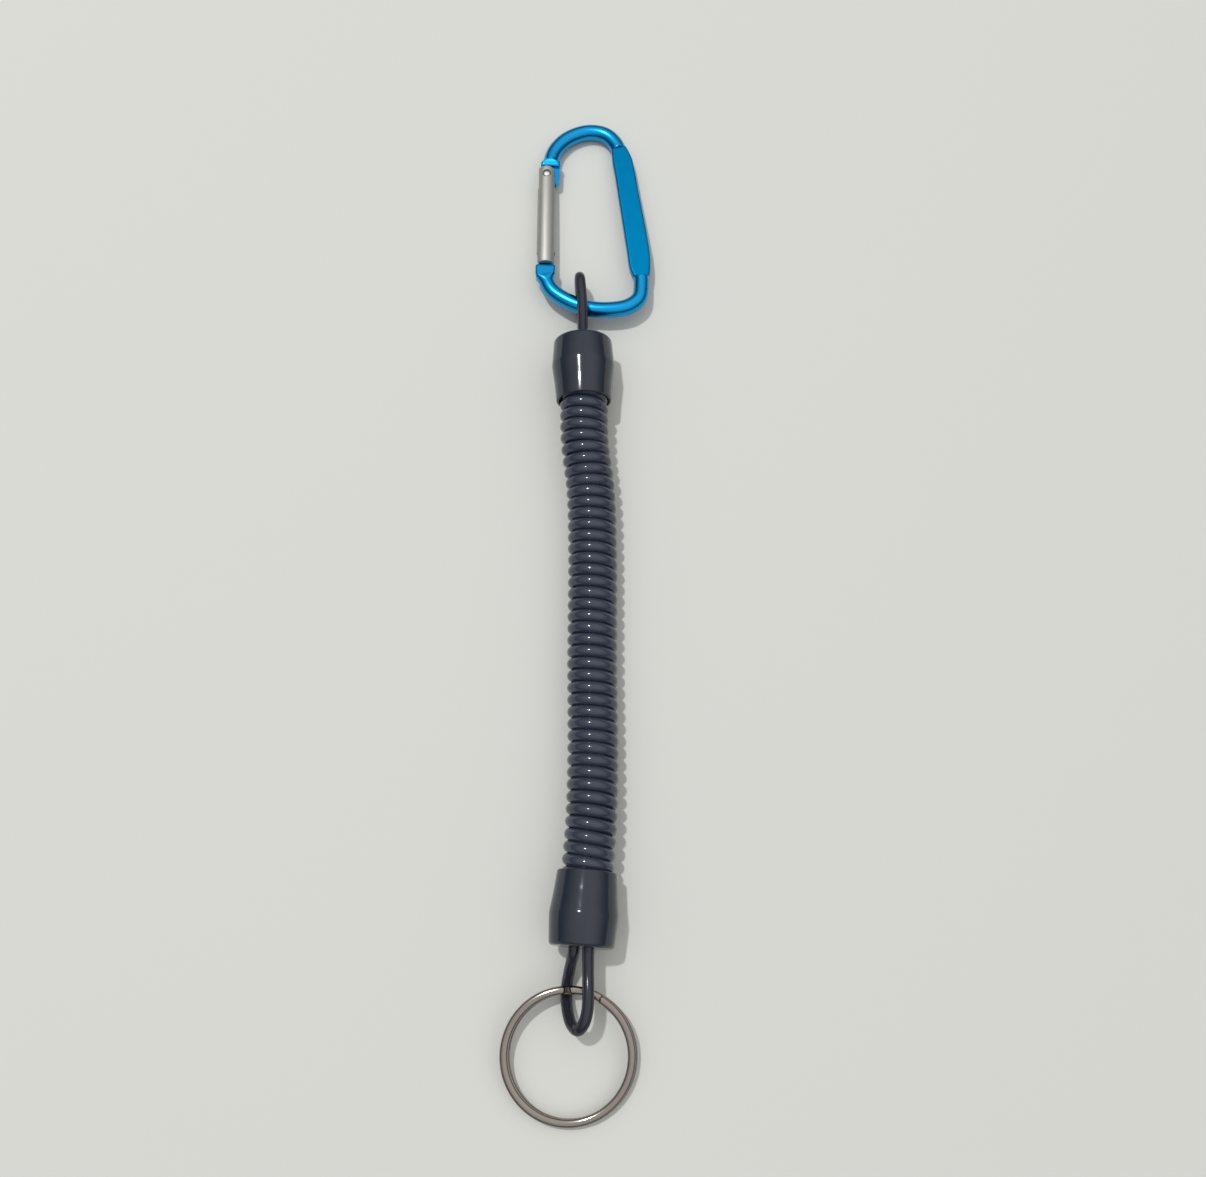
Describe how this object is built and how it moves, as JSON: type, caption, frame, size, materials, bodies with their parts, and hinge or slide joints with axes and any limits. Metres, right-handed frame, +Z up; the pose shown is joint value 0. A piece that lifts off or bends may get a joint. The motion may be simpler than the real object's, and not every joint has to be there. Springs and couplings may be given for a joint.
{
  "type": "coiled lanyard",
  "caption": "Coiled plastic cord lanyard with a spring-gate carabiner looped to one end and a split key ring looped to the other; the coil stretches and pulls back.",
  "frame": {"origin": "middle of the lying lanyard's bounding box, on the surface it lies on", "axes": "+Y along the lanyard towards the carabiner, +Z up from the surface, +X to the right"},
  "size_m": [0.0283, 0.2038, 0.0127],
  "materials": {
    "blue_anodise": "blue anodised, satin",
    "raw_aluminium": "drawn, bare",
    "steel": "polished",
    "nickel": "nickel plated",
    "dark_cord": "glossy polyurethane",
    "dark_plastic": "glossy moulded",
    "crimp_metal": "crimped, hidden"
  },
  "bodies": {
    "upper_end": {"upper_end_cap": "dark_plastic", "upper_ferrule": "crimp_metal", "coil_cord": "dark_cord"},
    "upper_cord_loop": {"upper_loop": "dark_cord"},
    "carabiner": {"carabiner_frame": "blue_anodise", "gate_hinge_rivet": "steel"},
    "gate": {"carabiner_gate": "raw_aluminium", "gate_spring": "steel"},
    "plunger": {"gate_plunger": "steel"},
    "lower_end": {"lower_end_cap": "dark_plastic", "lower_ferrule": "crimp_metal"},
    "lower_cord_loop": {"lower_loop": "dark_cord"},
    "ring": {"split_ring": "nickel"}
  },
  "joints": [
    {"name": "coil_stretch", "type": "slide", "parent": "upper_end", "child": "lower_end", "axis": [0, -1, 0], "range_m": [0, 0.4], "stiffness_N_per_m": 10, "deforming": ["coil_cord"]},
    {"name": "upper_loop_flex", "type": "hinge", "parent": "upper_end", "child": "upper_cord_loop", "pos_m": [-0.00028, 0.0481, 0.00635], "axis": [0, 0, 1], "range_deg": [-35, 35], "stiffness_Nm_per_rad": 0.003, "deforming": ["upper_loop"]},
    {"name": "carabiner_swing", "type": "hinge", "parent": "upper_cord_loop", "child": "carabiner", "pos_m": [-0.0005, 0.0573, 0.00396], "axis": [1, 0, 0], "range_deg": [-100, 100]},
    {"name": "gate_hinge", "type": "hinge", "parent": "carabiner", "child": "gate", "pos_m": [-0.00835, 0.0889, 0.00228], "axis": [0, 0.0531, 0.9986], "range_deg": [0, 32], "stiffness_Nm_per_rad": 0.03, "springref_deg": -22.92},
    {"name": "plunger_slide", "type": "slide", "parent": "gate", "child": "plunger", "axis": [0, -0.9986, 0.0531], "range_m": [0, 0.0008], "deforming": ["gate_spring"]},
    {"name": "lower_loop_flex", "type": "hinge", "parent": "lower_end", "child": "lower_cord_loop", "pos_m": [-0.00004, -0.07085, 0.00635], "axis": [0, 0, 1], "range_deg": [-35, 35], "stiffness_Nm_per_rad": 0.003, "deforming": ["lower_loop"]},
    {"name": "ring_swing", "type": "hinge", "parent": "lower_cord_loop", "child": "ring", "pos_m": [-0.0007, -0.0781, 0.00435], "axis": [1, 0, 0], "range_deg": [-95, 95]}
  ],
  "couplings": [
    {"joint": "plunger_slide", "follows": "gate_hinge", "m_per_rad": 0.0014}
  ]
}
